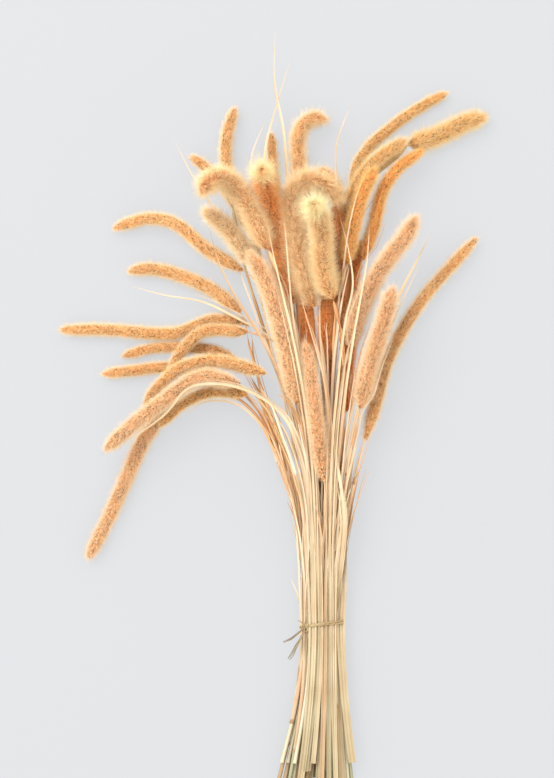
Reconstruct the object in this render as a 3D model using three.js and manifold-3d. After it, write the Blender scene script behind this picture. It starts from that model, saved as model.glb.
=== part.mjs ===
// A tied bunch of dried foxtail grass, lying on a flat surface.
// Millimetres, +Z up from the surface. +Y runs along the bunch, from the cut ends to the heads, and +X is to
// the right of someone who looks down on it. Each stalk is one culm, grown together with its bristly head.
// The leaf blades were cut with the stalks and lie loose among them. One strand of raffia holds them all
// together. The routes are written from the middle of the tie at surface level, and the finished bunch is
// then moved so that the origin is under the middle of its whole outline.
import * as THREE from "three";
import { mergeVertices } from "three/addons/utils/BufferGeometryUtils.js";
import Module from "manifold-3d";

// Overall sizes.
const REACH = 523; // from the tie to the tip of the longest blade
const FAN_WIDTH = 374; // from the leftmost head's tip to the rightmost one's
const CUT_LENGTH = 122; // from the tie down to the shortest cut stalk
const CUT_STAGGER = 7; // step between one cut length and the next
const CUT_LENGTHS = 6; // different cut lengths in the bunch
const FLARE = 1.95; // spread of the cut ends, as a multiple of the spread at the tie
const FLARE_UP = 1.35; // the same for their height above the surface
const CUT_LEAN = -6; // how far the cut ends lie to the side of the tie

// Stalks.
const CULM_RADIUS = 1.6; // at the tie
const CUT_RADIUS = 1.75; // at the cut end
const NECK_RADIUS = 0.95; // just under the head
const HEAD_FILL = 0.86; // share of a head's width over its bristle tips that is packed enough to touch
const CLEARANCE = 0.35; // least gap between two pieces

// Leaf blades.
const BLADE_THICK = 0.7;
const BLADE_FOLDED = 3; // width of a blade where the tie holds it
const BLADE_TIP = 0.8; // width of its tip
const BLADE_OPENS = 0.33; // share of a blade's length past the tie in which it opens to its full width
const BLADE_TAPERS = 0.6; // share of that length from which it tapers to its tip

// Tie.
const STRAND_THICK = 1.6; // raffia, across the band
const BAND_HEIGHT = 4.4; // two turns of it side by side, along the bunch
const TIE_CLEARANCE = 0.5; // between the band and the members inside it
const TIE_LIFT = 0.5; // how far the members sag on either side of the band
const BAND_SLOPE = 0.12; // rise of the band from the left side to the right
const KNOT_LENGTH = 8.4; // along the bunch
const KNOT_WIDTH = 7.2;
const KNOT_THICK = 5.4; // out from the bunch
const KNOT_ANGLE = 150; // degrees round the bunch, from +X towards +Z
const TAIL_RADIUS = 0.9;
const TAIL_TIP_RADIUS = 0.35;
const TAILS = [
  // The loose ends' lines, from the middle of the knot.
  [[0, 0, 0], [-4, -9, 3], [-9, -18, 3], [-14, -29, 1]],
  [[0, 0, 0], [-6, -5, 1], [-13, -11, 1], [-19, -15, 0]],
  [[0, 0, 0], [-3, 3, 2], [-6, 7, 3]],
];

// Detail.
const SIDES = 6; // of a stalk
const CUT_STEPS = 3; // from the cut end to the tie
const CULM_STEPS = 8; // from the tie to the head
const HEAD_STEPS = 10;
const BLADE_STEPS = 12; // from the tie to the tip of a blade
const BAND_STEPS = 56; // round the bunch
const TAIL_STEPS = 6;

// How the members settle on each other.
const LEAST_ROUNDS = 200; // of which all but the last few ease the bends
const MOST_ROUNDS = 1500;
const SETTLED = 0.08; // gap that may be missing from the clearance in the end
const RENEW_ROUNDS = 20; // from one search for near neighbours to the next
const RENEW_REACH = 4; // how far members may move in that many rounds
const EASING = 0.35; // share of each station's move that its neighbours take over in a round
const YIELD = 0.45; // share of a missing gap that each of two members makes up in a round
const LIFTING = 0.9; // how much more they move up and down than sideways

// The bunch as the routes below are written. They stretch with REACH and FAN_WIDTH.
const WRITTEN = { reach: 523, width: 374 };

// Each stalk: the width of its head over the bristle tips, and the head's line from its neck to its tip. Some
// culms bend on the way there, and pass through the points under via.
const STALKS = [
  // Left side, bending over and down, the lowest lying on the surface.
  { width: 14, line: [[-70, 313, 26], [-101, 331, 24], [-130, 354, 18], [-154, 358, 13], [-183, 350, 9]] },
  {
    width: 14.5,
    via: [[-38, 166, 22], [-52, 205, 20]],
    line: [[-73, 277, 16], [-98, 296, 12], [-135, 311, 9], [-153, 314, 8], [-170, 312, 8]],
  },
  {
    width: 14,
    via: [[-40, 164, 13], [-53, 203, 12]],
    line: [[-68, 266, 10], [-98, 268, 9], [-128, 257, 8], [-190, 260, 8], [-230, 260, 7]],
  },
  { width: 13, line: [[-66, 258, 28], [-104, 258, 24], [-123, 241, 22], [-134, 222, 21]] },
  {
    width: 12.5,
    via: [[-42, 168, 9], [-56, 206, 9]],
    line: [[-76, 233, 9], [-98, 242, 8], [-147, 244, 7], [-175, 237, 7]],
  },
  {
    width: 13,
    via: [[-42, 160, 8], [-58, 194, 8]],
    line: [[-96, 222, 8], [-138, 227, 7], [-165, 224, 7], [-193, 221, 7]],
  },
  { width: 14, line: [[-50, 222, 36], [-92, 232, 36], [-122, 227, 34], [-147, 206, 32], [-155, 194, 31]] },
  {
    width: 17,
    via: [[-34, 160, 44], [-50, 192, 47]],
    line: [[-74, 212, 48], [-106, 218, 47], [-135, 200, 46], [-172, 171, 42], [-189, 155, 38]],
  },
  {
    width: 13,
    via: [[-40, 156, 24], [-52, 186, 23]],
    line: [[-67, 203, 22], [-98, 205, 20], [-122, 195, 18], [-143, 176, 16]],
  },
  {
    width: 16,
    via: [[-42, 150, 18], [-60, 190, 16], [-104, 206, 13]],
    line: [[-140, 186, 11], [-157, 163, 9], [-173, 128, 9], [-187, 97, 8], [-206, 59, 8]],
  },
  // Top, some hooked over so that their tips look up.
  { width: 13, line: [[-79, 370, 10], [-85, 420, 9], [-82, 439, 9], [-77, 455, 9]] },
  { width: 12, line: [[-64, 348, 12], [-77, 374, 9], [-102, 403, 8], [-115, 413, 8]] },
  {
    width: 20,
    line: [[-48, 332, 52], [-62, 363, 60], [-77, 385, 68], [-89, 391, 79], [-99, 386, 89], [-104, 378, 97]],
  },
  { width: 18, line: [[-60, 318, 38], [-82, 347, 40], [-93, 357, 43], [-102, 363, 47]] },
  { width: 19, line: [[-27, 284, 34], [-36, 330, 42], [-43, 362, 54], [-50, 384, 68], [-52, 398, 88]] },
  { width: 11, line: [[-41, 374, 12], [-43, 404, 10], [-45, 433, 9]] },
  {
    width: 15,
    line: [[-17, 374, 14], [-20, 402, 16], [-21, 430, 18], [-14, 443, 20], [-4, 447, 21], [3, 444, 21]],
  },
  { width: 19, line: [[8, 288, 52], [0, 312, 58], [-1, 340, 66], [-4, 358, 80], [-8, 367, 97]] },
  {
    width: 18,
    line: [[-8, 281, 40], [-16, 307, 42], [-25, 345, 46], [-27, 376, 50], [-14, 389, 53], [0, 386, 55],
      [13, 374, 56]],
  },
  { width: 13, line: [[18, 352, 14], [13, 384, 12], [6, 397, 11], [-2, 401, 11]] },
  // Middle, half hidden among the culms.
  { width: 15, line: [[16, 260, 26], [15, 307, 28], [13, 345, 30], [12, 369, 32]] },
  { width: 12, line: [[26, 272, 24], [31, 312, 26], [36, 336, 28]] },
  { width: 14, line: [[21, 190, 26], [22, 242, 26], [27, 270, 26], [30, 288, 26]] },
  { width: 12, line: [[8, 180, 22], [7, 220, 23], [7, 255, 24]] },
  { width: 15, line: [[-11, 212, 32], [-13, 250, 34], [-15, 285, 34], [-17, 318, 33]] },
  { width: 14, line: [[2, 232, 34], [3, 270, 36], [4, 300, 36], [4, 328, 36]] },
  // Right side.
  { width: 12, line: [[26, 392, 10], [39, 418, 9], [64, 441, 8], [94, 461, 7], [110, 469, 7]] },
  {
    width: 19,
    via: [[36, 380, 18], [55, 411, 16]],
    line: [[77, 424, 14], [99, 430, 12], [129, 444, 11], [143, 448, 10]],
  },
  { width: 14, line: [[20, 335, 26], [24, 370, 27], [34, 393, 28], [50, 411, 28], [73, 426, 27]] },
  { width: 15, line: [[21, 319, 44], [28, 354, 44], [36, 380, 45], [46, 400, 46]] },
  { width: 13, line: [[37, 323, 28], [47, 354, 28], [53, 380, 27], [67, 402, 25], [88, 417, 23]] },
  { width: 18, line: [[25, 246, 42], [32, 274, 44], [52, 314, 50], [70, 337, 57], [81, 356, 65]] },
  { width: 18, line: [[34, 193, 48], [42, 230, 52], [52, 262, 56], [61, 294, 64]] },
  { width: 13, line: [[38, 165, 26], [47, 195, 24], [57, 231, 20], [86, 283, 14], [136, 340, 9]] },
  // Front, lying on top of the rest.
  { width: 20, line: [[-20, 196, 50], [-28, 237, 54], [-39, 275, 57], [-50, 304, 59], [-63, 325, 60]] },
  { width: 16, line: [[1, 129, 42], [-6, 175, 50], [-11, 206, 53], [-16, 247, 55]] },
];

// Each leaf blade: its full width, its twist in degrees from the tie to the tip, and its line from where it
// leaves the culms to its tip.
const BLADES = [
  { width: 2.6, twist: 50, line: [[-60, 262, 18], [-104, 284, 15], [-147, 292, 13], [-170, 299, 12]] },
  {
    width: 4,
    twist: 30,
    line: [[-62, 205, 52], [-95, 214, 56], [-118, 208, 58], [-141, 182, 56], [-189, 152, 48]],
  },
  { width: 3, twist: 70, line: [[-45, 340, 24], [-50, 419, 22], [-38, 464, 20], [-28, 497, 18]] },
  {
    width: 4,
    twist: 40,
    line: [[-28, 330, 26], [-32, 399, 24], [-38, 462, 22], [-44, 488, 20], [-41, 523, 19]],
  },
  { width: 2, twist: 60, line: [[-56, 340, 24], [-61, 422, 20], [-49, 446, 18]] },
  {
    width: 4,
    twist: 80,
    line: [[12, 340, 20], [13, 389, 20], [13, 419, 20], [17, 441, 18], [26, 460, 16]],
  },
  { width: 8, twist: 25, line: [[44, 230, 34], [64, 282, 36], [85, 324, 34], [97, 347, 32]] },
  {
    width: 4,
    twist: 60,
    line: [[11, 198, 56], [18, 260, 60], [26, 300, 66], [21, 335, 70], [15, 357, 72]],
  },
  { width: 6, twist: 20, line: [[3, 216, 44], [-1, 256, 50], [0, 299, 52]] },
  { width: 6, twist: 15, line: [[18, 110, 40], [10, 163, 48], [6, 194, 50]] },
  {
    width: 2.6,
    twist: 45,
    line: [[-30, 200, 40], [-53, 251, 42], [-75, 286, 42], [-94, 327, 40], [-99, 349, 38]],
  },
  { width: 3.5, twist: 35, line: [[-30, 270, 62], [-44, 330, 66], [-48, 352, 70]] },
  { width: 2.6, twist: 50, line: [[-19, 251, 56], [-24, 277, 58], [-30, 330, 60], [-34, 362, 64]] },
  { width: 2.6, twist: 40, line: [[30, 270, 56], [39, 321, 54], [41, 352, 54]] },
  { width: 2.6, twist: 30, line: [[-5, 242, 58], [-12, 264, 59], [-22, 299, 62]] },
  { width: 2, twist: 60, line: [[-75, 345, 30], [-105, 378, 28], [-119, 407, 26], [-130, 427, 25]] },
];

// Where the tie holds them, stalks and blades lie in rows, from the surface up. Every other row is half a
// place over, so that each member lies between two of the row below.
const ROWS = [8, 10, 10, 10, 8, 6];
const MEMBER_RADIUS = Math.max(CULM_RADIUS, BLADE_FOLDED / 2);
const PITCH = 2 * MEMBER_RADIUS + CLEARANCE;
const ROW_RISE = PITCH * Math.sin(Math.PI / 3);
const ROW_SHIFT = PITCH / 4;
const LOWEST_ROW = STRAND_THICK + TIE_CLEARANCE + TIE_LIFT + MEMBER_RADIUS;

const toPoint = ([x, y, z]) =>
  new THREE.Vector3((x * FAN_WIDTH) / WRITTEN.width, (y * REACH) / WRITTEN.reach, z);
const mix = THREE.MathUtils.lerp;
const numbered = (kind, i) => `${kind}_${String(i + 1).padStart(2, "0")}`;

// How full a head is at a share t of its length: it swells at once from the neck, thins a little and ends
// blunt.
const headFullness = (t) => {
  const swell = Math.min(1, 0.5 + 4.5 * t);
  const thinning = 1 - 0.2 * t * t;
  const bluntTip = Math.sqrt(1 - Math.max(0, (t - 0.84) / 0.2) ** 2);
  return swell * thinning * bluntTip;
};

// How wide a blade is at a share t of its length past the tie: it opens out, then tapers to its tip.
const bladeWidth = (width, t) => {
  const opened = mix(BLADE_FOLDED, width, Math.min(1, t / BLADE_OPENS));
  const tapering = Math.max(0, (t - BLADE_TAPERS) / (1 - BLADE_TAPERS));
  return Math.max(opened * (1 - tapering ** 1.5), BLADE_TIP);
};

// The members that the tie holds, each with the radius of the room it needs at every station of its route.
function makeMembers() {
  const stalks = STALKS.map(({ width, line, via = [] }, i) => {
    const radii = [];
    for (let k = 0; k <= CUT_STEPS; k++) radii.push(mix(CUT_RADIUS, CULM_RADIUS, k / CUT_STEPS));
    for (let k = 1; k <= CULM_STEPS; k++) radii.push(mix(CULM_RADIUS, NECK_RADIUS, k / CULM_STEPS));
    for (let k = 1; k <= HEAD_STEPS; k++) radii.push((width / 2) * HEAD_FILL * headFullness(k / HEAD_STEPS));
    const name = numbered("stalk", i);
    return { name, kind: "stalk", line: line.map(toPoint), via: via.map(toPoint), radii };
  });
  const blades = BLADES.map(({ width, twist, line }, i) => {
    const radii = [];
    for (let k = 0; k <= CUT_STEPS; k++) radii.push(BLADE_FOLDED / 2);
    for (let k = 1; k <= BLADE_STEPS; k++) radii.push(bladeWidth(width, k / BLADE_STEPS) / 2);
    const name = numbered("leaf", i);
    return { name, kind: "leaf", line: line.map(toPoint), via: [], radii, twist };
  });
  return [...stalks, ...blades];
}

// Gives each member its place in the tie: the higher ones in the higher rows, and each row in order from left
// to right.
function takePlaces(members) {
  const aim = ({ line: [start] }) => start.x / start.y;
  const climbing = [...members].sort((a, b) => a.line[0].z - b.line[0].z);
  climbing.forEach((member, rank) => (member.rank = rank));
  ROWS.forEach((count, row) => {
    const inRow = climbing.splice(0, count).sort((a, b) => aim(a) - aim(b));
    const shift = row % 2 ? ROW_SHIFT : -ROW_SHIFT;
    inRow.forEach((member, i) => {
      member.place = new THREE.Vector3((i - (count - 1) / 2) * PITCH + shift, 0, LOWEST_ROW + row * ROW_RISE);
    });
  });
}

// Draws a member's route: up from the cut end to its place in the tie, on to its own line, and along that.
function drawRoute(member, index) {
  const { place, line, via, kind } = member;
  const cutRise = CUT_RADIUS + (place.z - LOWEST_ROW) * FLARE_UP;
  const cut = new THREE.Vector3(
    place.x * FLARE + CUT_LEAN,
    -CUT_LENGTH - CUT_STAGGER * ((index * 5) % CUT_LENGTHS),
    cutRise,
  );
  const below = new THREE.QuadraticBezierCurve3(cut, new THREE.Vector3(place.x, cut.y * 0.4, place.z), place);
  const own = new THREE.CatmullRomCurve3(line, false, "centripetal");
  const bends = new THREE.CatmullRomCurve3([...via, ...line.slice(0, 2)], false, "centripetal");
  const first = bends.points[0];
  const gap = place.distanceTo(first);
  const leave = new THREE.Vector3(place.x, gap * 0.45, place.z);
  const arrive = first.clone().addScaledVector(bends.getTangentAt(0), -gap * 0.28);
  const rising = new THREE.CurvePath();
  rising.add(new THREE.CubicBezierCurve3(place, leave, arrive, first));
  if (via.length) rising.add(new THREE.CatmullRomCurve3([...via, line[0]], false, "centripetal"));
  const route = below.getSpacedPoints(CUT_STEPS).slice(0, -1);
  if (kind === "stalk") {
    route.push(...rising.getSpacedPoints(CULM_STEPS).slice(0, -1), ...own.getSpacedPoints(HEAD_STEPS));
  } else {
    rising.add(own);
    route.push(...rising.getSpacedPoints(BLADE_STEPS));
  }
  member.drawn = route;
  member.route = route.map((p) => p.clone());
}

// Shares along segments ab and cd of the two points where they come closest.
function closestShares(a, b, c, d) {
  const ab = b.clone().sub(a);
  const cd = d.clone().sub(c);
  const ca = a.clone().sub(c);
  const aa = ab.dot(ab);
  const ee = cd.dot(cd);
  const f = cd.dot(ca);
  const g = ab.dot(ca);
  const h = ab.dot(cd);
  const across = aa * ee - h * h;
  let s = across > 1e-9 ? THREE.MathUtils.clamp((h * f - g * ee) / across, 0, 1) : 0.5;
  let t = (h * s + f) / ee;
  if (t < 0 || t > 1) {
    t = THREE.MathUtils.clamp(t, 0, 1);
    s = THREE.MathUtils.clamp((h * t - g) / aa, 0, 1);
  }
  return [s, t];
}

// The most room that two segments may need, and whether their boxes are further apart than that.
const roomFor = (one, i, two, j) =>
  Math.max(one.radii[i], one.radii[i + 1]) + Math.max(two.radii[j], two.radii[j + 1]) + CLEARANCE;
const before = (a, b, c, d, room, axis) => Math.max(a[axis], b[axis]) + room < Math.min(c[axis], d[axis]);
const apart = (a, b, c, d, room) =>
  ["z", "x", "y"].some((axis) => before(a, b, c, d, room, axis) || before(c, d, a, b, room, axis));

// Moves two segments apart where they need more room, mostly up and down, so that the outline stays as
// written. Returns how much room was missing.
function pushApart(one, i, two, j) {
  const [a, b] = [one.route[i], one.route[i + 1]];
  const [c, d] = [two.route[j], two.route[j + 1]];
  if (apart(a, b, c, d, roomFor(one, i, two, j))) return 0;
  const [s, t] = closestShares(a, b, c, d);
  const between = a.clone().lerp(b, s).sub(c.clone().lerp(d, t));
  const room = mix(one.radii[i], one.radii[i + 1], s) + mix(two.radii[j], two.radii[j + 1], t) + CLEARANCE;
  const gap = between.length();
  if (gap >= room) return 0;
  const rise = mix(one.drawn[i].z, one.drawn[i + 1].z, s) - mix(two.drawn[j].z, two.drawn[j + 1].z, t);
  const over = Math.abs(rise) > 1 ? Math.sign(rise) : Math.sign(one.rank - two.rank);
  between.divideScalar(Math.max(gap, 1e-6));
  between.z += LIFTING * over;
  between.normalize().multiplyScalar((room - gap) * YIELD);
  a.addScaledVector(between, 1 - s);
  b.addScaledVector(between, s);
  c.addScaledVector(between, t - 1);
  d.addScaledVector(between, -t);
  return room - gap;
}

// Spreads each station's move over its neighbours, so that a culm bends and doesn't kink.
function easeRoute({ route, drawn }) {
  const moves = route.map((p, i) => p.clone().sub(drawn[i]));
  moves.forEach((move, i) => {
    if (i === 0 || i === moves.length - 1) return;
    const around = moves[i - 1].clone().add(moves[i + 1]).multiplyScalar(0.5);
    route[i].copy(drawn[i]).add(move.clone().lerp(around, EASING));
  });
}

// The pairs of segments that are near enough to meet while the members settle a little.
function nearbyPairs(members) {
  const pairs = [];
  const listPairs = (one, two) => {
    for (let i = 0; i < one.route.length - 1; i++)
      for (let j = 0; j < two.route.length - 1; j++) {
        const [a, b, c, d] = [one.route[i], one.route[i + 1], two.route[j], two.route[j + 1]];
        if (!apart(a, b, c, d, roomFor(one, i, two, j) + RENEW_REACH)) pairs.push([one, i, two, j]);
      }
  };
  members.forEach((one, m) => members.slice(m + 1).forEach((two) => listPairs(one, two)));
  return pairs;
}

// Settles the members on the surface and on each other. The tie holds its own station of each.
function settle(members) {
  let pairs = [];
  let missing = Infinity;
  for (let round = 0; round < MOST_ROUNDS && (round < LEAST_ROUNDS || missing > SETTLED); round++) {
    if (round % RENEW_ROUNDS === 0) pairs = nearbyPairs(members);
    missing = Math.max(...pairs.map((pair) => pushApart(...pair)));
    for (const member of members) {
      if (round < LEAST_ROUNDS - RENEW_ROUNDS) easeRoute(member);
      member.route.forEach((p, i) => (p.z = Math.max(p.z, member.radii[i])));
      member.route[CUT_STEPS].copy(member.place);
    }
  }
}

// A frame at each station of a route, carried along it without twisting, then turned by a share of the twist.
function framesAlong(route, twist = 0) {
  let side = new THREE.Vector3(1, 0, 0);
  return route.map((point, i) => {
    const ahead = route[Math.min(i + 1, route.length - 1)];
    const along = ahead.clone().sub(route[Math.max(i - 1, 0)]).normalize();
    side = side.clone().addScaledVector(along, -side.dot(along)).normalize();
    const turned = side.clone().applyAxisAngle(along, (twist * i) / (route.length - 1));
    return { point, side: turned, face: turned.clone().cross(along) };
  });
}

// Bends a straight solid, drawn up +Y with one ring at each whole Y, along a route with that many stations.
function bend(geometry, route, twist) {
  const frames = framesAlong(route, twist);
  const position = geometry.getAttribute("position");
  const v = new THREE.Vector3();
  for (let i = 0; i < position.count; i++) {
    v.fromBufferAttribute(position, i);
    const { point, side, face } = frames[Math.round(v.y)];
    const placed = point.clone().addScaledVector(side, v.x).addScaledVector(face, v.z);
    position.setXYZ(i, placed.x, placed.y, placed.z);
  }
  return geometry;
}

// A round solid with the given radius at each station, closed on its axis at both ends.
function turned(radii) {
  const last = radii.length - 1;
  const profile = radii.map((r, i) => new THREE.Vector2(r, i));
  return new THREE.LatheGeometry([new THREE.Vector2(0, 0), ...profile, new THREE.Vector2(0, last)], SIDES);
}

// A flat strip with the given width at each station.
function strip(widths, thick) {
  const last = widths.length - 1;
  const geometry = new THREE.BoxGeometry(1, last, thick, 1, last, 1).translate(0, last / 2, 0);
  const position = geometry.getAttribute("position");
  for (let i = 0; i < position.count; i++)
    position.setX(i, position.getX(i) * widths[Math.round(position.getY(i))]);
  return geometry;
}

// Where a member's route crosses a height along the bunch, close to the tie.
function crossing({ route }, y) {
  const i = y < 0 ? CUT_STEPS - 1 : CUT_STEPS;
  const share = (y - route[i].y) / (route[i + 1].y - route[i].y);
  return route[i].clone().lerp(route[i + 1], share);
}

// The distance from the middle of the bunch to its taut outline at the tie, in a direction round it.
function outlineAt(held, centre, angle) {
  const reachTowards = (turn) =>
    Math.max(...held.map((p) => (p.x - centre.x) * Math.cos(turn) + (p.z - centre.z) * Math.sin(turn)));
  const tilts = Array.from({ length: 41 }, (_, i) => THREE.MathUtils.degToRad(i * 4 - 80));
  const off = MEMBER_RADIUS + TIE_CLEARANCE;
  return Math.min(...tilts.map((tilt) => (reachTowards(angle + tilt) + off) / Math.cos(tilt)));
}

async function makeTie(members) {
  const wasm = await Module();
  wasm.setup();
  const toSolid = (geometry) => {
    geometry.deleteAttribute("normal");
    geometry.deleteAttribute("uv");
    const { attributes, index } = mergeVertices(geometry, 1e-3);
    const vertProperties = attributes.position.array;
    const triVerts = new Uint32Array(index.array);
    return new wasm.Manifold(new wasm.Mesh({ numProp: 3, vertProperties, triVerts }));
  };
  const centre = new THREE.Vector3(0, 0, LOWEST_ROW + ((ROWS.length - 1) / 2) * ROW_RISE);
  const bandReach = BAND_HEIGHT / 2 + (BAND_SLOPE * Math.max(...ROWS) * PITCH) / 2;
  const held = [-bandReach, 0, bandReach].flatMap((y) => members.map((member) => crossing(member, y)));
  const onBand = (angle, out) => {
    const r = outlineAt(held, centre, angle) + out;
    const x = centre.x + r * Math.cos(angle);
    return new THREE.Vector3(x, x * BAND_SLOPE, centre.z + r * Math.sin(angle));
  };

  // The band is a ring of unit size, reshaped to the bunch's outline.
  const band = new THREE.TorusGeometry(1, 0.5, SIDES, BAND_STEPS);
  const position = band.getAttribute("position");
  const v = new THREE.Vector3();
  for (let i = 0; i < position.count; i++) {
    v.fromBufferAttribute(position, i);
    const out = (Math.hypot(v.x, v.y) - 1) * STRAND_THICK;
    const placed = onBand(Math.atan2(v.y, v.x), STRAND_THICK / 2 + out);
    position.setXYZ(i, placed.x, placed.y - v.z * BAND_HEIGHT, placed.z);
  }

  // The knot's flat side lies against the bunch, on the band.
  const knotTurn = THREE.MathUtils.degToRad(KNOT_ANGLE);
  const knotAt = onBand(knotTurn, KNOT_THICK / 2);
  const knot = new THREE.SphereGeometry(0.5, 10, 7).scale(KNOT_THICK, KNOT_LENGTH, KNOT_WIDTH);
  knot.rotateY(-knotTurn);
  knot.translate(knotAt.x, knotAt.y, knotAt.z);

  const tails = TAILS.map((line) => {
    const points = line.map(([x, y, z]) => knotAt.clone().add(new THREE.Vector3(x, y, z)));
    const route = new THREE.CatmullRomCurve3(points).getSpacedPoints(TAIL_STEPS);
    return bend(turned(route.map((_, i) => mix(TAIL_RADIUS, TAIL_TIP_RADIUS, i / TAIL_STEPS))), route);
  });

  const whole = [knot, ...tails].reduce((solid, piece) => solid.add(toSolid(piece)), toSolid(band));
  const mesh = whole.getMesh();
  return new THREE.BufferGeometry()
    .setAttribute("position", new THREE.BufferAttribute(mesh.vertProperties, 3))
    .setIndex(new THREE.BufferAttribute(mesh.triVerts, 1));
}

const finishes = {
  stalk: new THREE.MeshStandardMaterial({ color: 0xeab27a, roughness: 0.85, metalness: 0 }),
  leaf: new THREE.MeshStandardMaterial({ color: 0xefdcb4, roughness: 0.7, metalness: 0 }),
  tie: new THREE.MeshStandardMaterial({ color: 0xb9a47c, roughness: 0.75, metalness: 0 }),
};

const members = makeMembers();
takePlaces(members);
members.forEach(drawRoute);
settle(members);

const bunch = new THREE.Group();
function addPiece(name, geometry, finish) {
  const piece = new THREE.Mesh(geometry, finishes[finish]);
  piece.name = name;
  bunch.add(piece);
}
for (const { name, kind, route, radii, twist } of members) {
  const straight = kind === "stalk" ? turned(radii) : strip(radii.map((r) => 2 * r), BLADE_THICK);
  addPiece(name, bend(straight, route, THREE.MathUtils.degToRad(twist ?? 0)), kind);
}
addPiece("raffia_tie", await makeTie(members), "tie");

// The origin goes under the middle of the bunch, at surface level.
const outline = new THREE.Box3().setFromObject(bunch, true);
const middle = outline.getCenter(new THREE.Vector3());
bunch.position.set(-middle.x, -middle.y, -outline.min.z);

export default bunch;
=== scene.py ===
"""A tied bunch of dried foxtail grass, lying on a pale sheet.

Metres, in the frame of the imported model: +Z up from the surface, and +Y along the bunch towards the heads.
The line and thickness of every stalk and blade come from its node, and all that is finer is made here.
"""

import bpy
import numpy as np
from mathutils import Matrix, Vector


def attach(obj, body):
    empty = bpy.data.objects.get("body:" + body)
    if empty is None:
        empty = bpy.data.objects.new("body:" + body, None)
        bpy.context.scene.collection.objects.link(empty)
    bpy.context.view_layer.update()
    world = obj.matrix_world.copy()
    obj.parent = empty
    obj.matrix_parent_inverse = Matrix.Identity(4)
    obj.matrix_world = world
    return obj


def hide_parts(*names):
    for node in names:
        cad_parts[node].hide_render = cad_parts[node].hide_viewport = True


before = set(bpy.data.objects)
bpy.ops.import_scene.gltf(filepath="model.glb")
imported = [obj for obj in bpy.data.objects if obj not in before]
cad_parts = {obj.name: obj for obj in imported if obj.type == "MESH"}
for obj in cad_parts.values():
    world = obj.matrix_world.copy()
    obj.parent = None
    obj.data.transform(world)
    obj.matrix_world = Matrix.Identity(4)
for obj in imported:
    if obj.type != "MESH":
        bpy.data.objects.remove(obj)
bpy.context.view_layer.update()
mm = 0.001

# ----------------------------------------------------------------------------------------------------------
# The sheet, the light and the camera. The bunch lies on a matt, cool white sheet in a light tent, so light
# comes evenly from all round, a little of it up through the sheet, and more from one lamp beyond the heads.
SHEET_WIDTH = 14.0
SHEET_COLOUR = (88, 88, 90)
SHEET_GLOW = 0.60
SHEET_GLOW_COLOUR = (0.96, 0.98, 1.0, 1.0)
TENT_COLOUR = (1.0, 0.99, 0.98, 1.0)
TENT_LIGHT = 1.62
LAMP_PLACE = (-1.1, 1.3, 2.4)
LAMP_WIDTH = 1.8
LAMP_POWER = 66.0
LOOK_AT = np.array([3.5, 24.8, 25.0]) * mm
VIEW_LENGTH = 684.6 * mm
LENS = 180.0
SENSOR = 36.0
LIGHT_BOUNCES = 9


def shade(red, green, blue):
    """The linear colour of an sRGB one given from 0 to 255. Above the dark end it is a power of 2.4."""
    srgb = np.array([red, green, blue]) / 255
    linear = np.where(srgb > 0.04045, ((srgb + 0.055) / 1.055) ** 2.4, srgb / 12.92)
    return (*linear, 1.0)


def new_material(name):
    """A material of one Principled shader. Returns it, its node tree and the shader."""
    material = bpy.data.materials.new(name)
    material.use_nodes = True
    return material, material.node_tree, material.node_tree.nodes["Principled BSDF"]


half_sheet = SHEET_WIDTH / 2
sheet_mesh = bpy.data.meshes.new("sheet")
sheet_corners = [(-half_sheet, -half_sheet, 0), (half_sheet, -half_sheet, 0), (half_sheet, half_sheet, 0),
                 (-half_sheet, half_sheet, 0)]
sheet_mesh.from_pydata(sheet_corners, [], [(0, 1, 2, 3)])
sheet = bpy.data.objects.new("sheet", sheet_mesh)
bpy.context.collection.objects.link(sheet)
sheet_material, _, sheet_shader = new_material("matt sheet")
sheet_shader.inputs["Base Color"].default_value = shade(*SHEET_COLOUR)
sheet_shader.inputs["Roughness"].default_value = 0.9
sheet_shader.inputs["Specular IOR Level"].default_value = 0.1
sheet_shader.inputs["Emission Color"].default_value = SHEET_GLOW_COLOUR
sheet_shader.inputs["Emission Strength"].default_value = SHEET_GLOW
sheet_mesh.materials.append(sheet_material)

tent = bpy.data.worlds.new("light tent")
tent.use_nodes = True
tent.node_tree.nodes["Background"].inputs["Color"].default_value = TENT_COLOUR
tent.node_tree.nodes["Background"].inputs["Strength"].default_value = TENT_LIGHT
bpy.context.scene.world = tent

lamp_light = bpy.data.lights.new("broad lamp", "AREA")
lamp_light.size = LAMP_WIDTH
lamp_light.energy = LAMP_POWER
lamp = bpy.data.objects.new("broad lamp", lamp_light)
lamp.location = LAMP_PLACE
aim = Vector(LOOK_AT) - lamp.location
lamp.rotation_euler = aim.to_track_quat("-Z", "Y").to_euler()
bpy.context.collection.objects.link(lamp)

camera_data = bpy.data.cameras.new("camera")
camera_data.lens = LENS
camera_data.sensor_width = SENSOR
camera_data.clip_end = 50.0
camera = bpy.data.objects.new("camera", camera_data)
camera.location = LOOK_AT + np.array([0.0, 0.0, VIEW_LENGTH * LENS / SENSOR])
bpy.context.collection.objects.link(camera)
bpy.context.scene.camera = camera
bpy.context.scene.view_settings.view_transform = "Standard"
bpy.context.scene.cycles.diffuse_bounces = LIGHT_BOUNCES

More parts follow.
